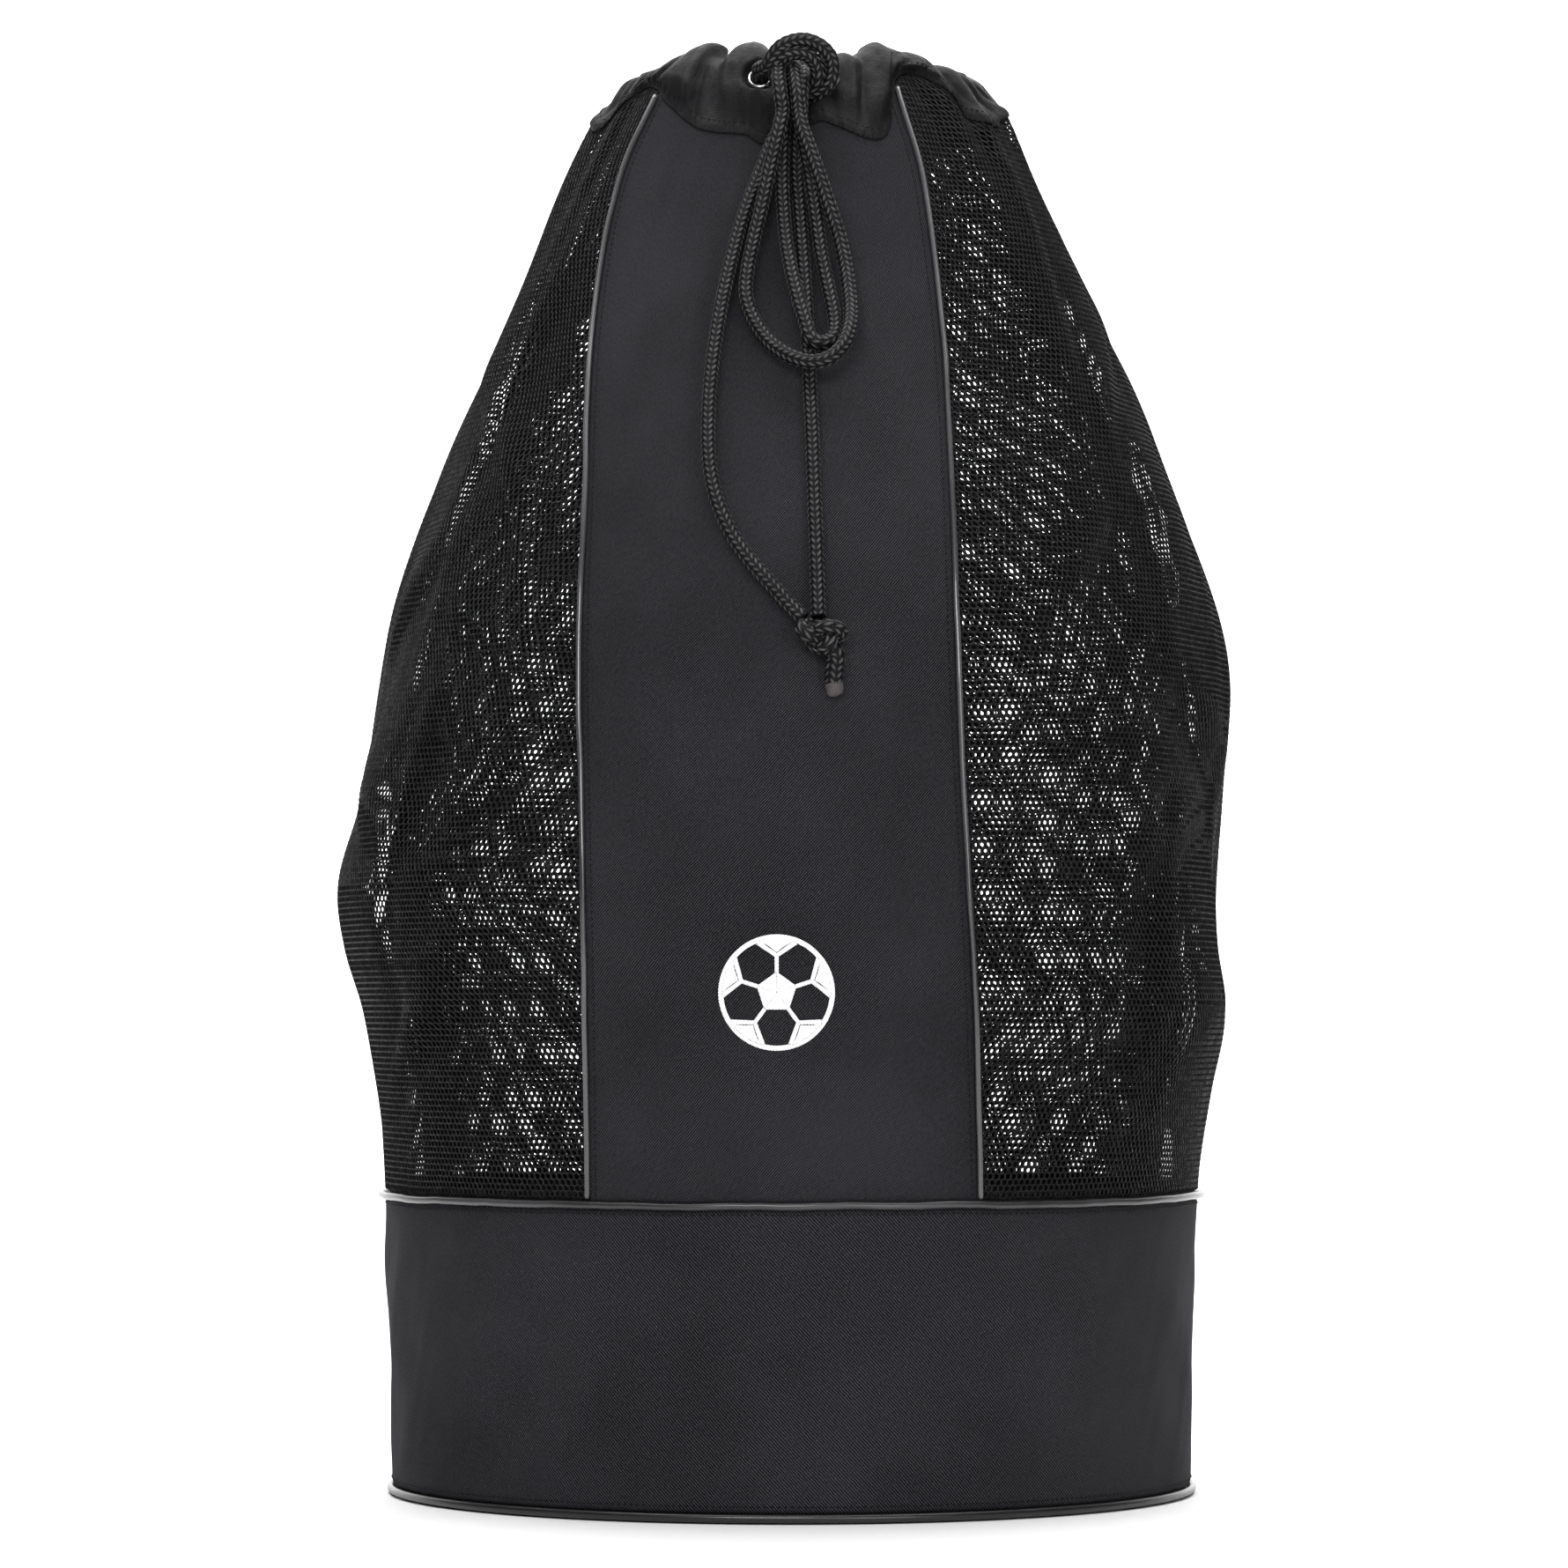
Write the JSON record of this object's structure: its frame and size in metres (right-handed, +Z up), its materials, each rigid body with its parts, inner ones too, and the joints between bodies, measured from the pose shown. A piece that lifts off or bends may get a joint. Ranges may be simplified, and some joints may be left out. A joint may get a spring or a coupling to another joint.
{
  "type": "mesh ball bag",
  "caption": "Tall round net bag for sports balls with a reinforced base band, solid front and back panels, and a drawcord mouth tied in a slip knot.",
  "frame": {"origin": "centre of the round base, on the floor it stands on", "axes": "+Z up through the mouth, -Y towards the front panel with the badge and the knot, +X to the right as seen from the front"},
  "size_m": [0.5596, 0.5648, 0.9035],
  "materials": {
    "woven_panel": "black woven polyester, matte, fine diagonal weave",
    "base_cloth": "black coated woven polyester, matte, stiff double layer",
    "net": "black knitted polyester net with six-sided holes",
    "casing_cloth": "black nylon, slightly glossy, tightly gathered",
    "dark_piping": "black glossy bead",
    "reflective_piping": "grey retroreflective bead",
    "binding_tape": "black woven tape over the raw seam inside",
    "nickel": "polished nickel",
    "cord": "black braided polyester cord",
    "melted_tip": "cord end melted and sealed",
    "white_print": "white heat-transfer film"
  },
  "bodies": {
    "bag": {"back_left_binding": "binding_tape", "back_left_piping": "reflective_piping", "back_panel": "woven_panel", "back_right_binding": "binding_tape", "back_right_piping": "reflective_piping", "badge_print": "white_print", "base_band": "base_cloth", "base_bottom_binding": "binding_tape", "base_bottom_piping": "dark_piping", "base_panel": "base_cloth", "base_rim_binding": "binding_tape", "base_rim_piping": "reflective_piping", "casing": "casing_cloth", "casing_cord": "cord", "front_left_binding": "binding_tape", "front_left_piping": "reflective_piping", "front_panel": "woven_panel", "front_right_binding": "binding_tape", "front_right_piping": "reflective_piping", "left_eyelet": "nickel", "left_eyelet_washer": "nickel", "left_net": "net", "right_eyelet": "nickel", "right_eyelet_washer": "nickel", "right_net": "net"},
    "knot": {"slip_knot": "cord"},
    "tails": {"tail_left": "cord", "tail_right": "cord", "end_knot": "cord", "end_stub": "cord", "sealed_tip": "melted_tip"},
    "loops": {"loop_large": "cord", "loop_small": "cord"}
  },
  "joints": [
    {"name": "knot_swing_side", "type": "hinge", "parent": "bag", "child": "knot", "pos_m": [0.0025, -0.1272, 0.873], "axis": [0, 0.9135, -0.4067], "range_deg": [-18, 18]},
    {"name": "tails_swing_out", "type": "hinge", "parent": "knot", "child": "tails", "pos_m": [0, -0.15, 0.846], "axis": [-1, 0, 0], "range_deg": [0, 90]},
    {"name": "loops_swing_out", "type": "hinge", "parent": "tails", "child": "loops", "pos_m": [0, -0.15, 0.846], "axis": [-1, 0, 0], "range_deg": [0, 40]}
  ]
}
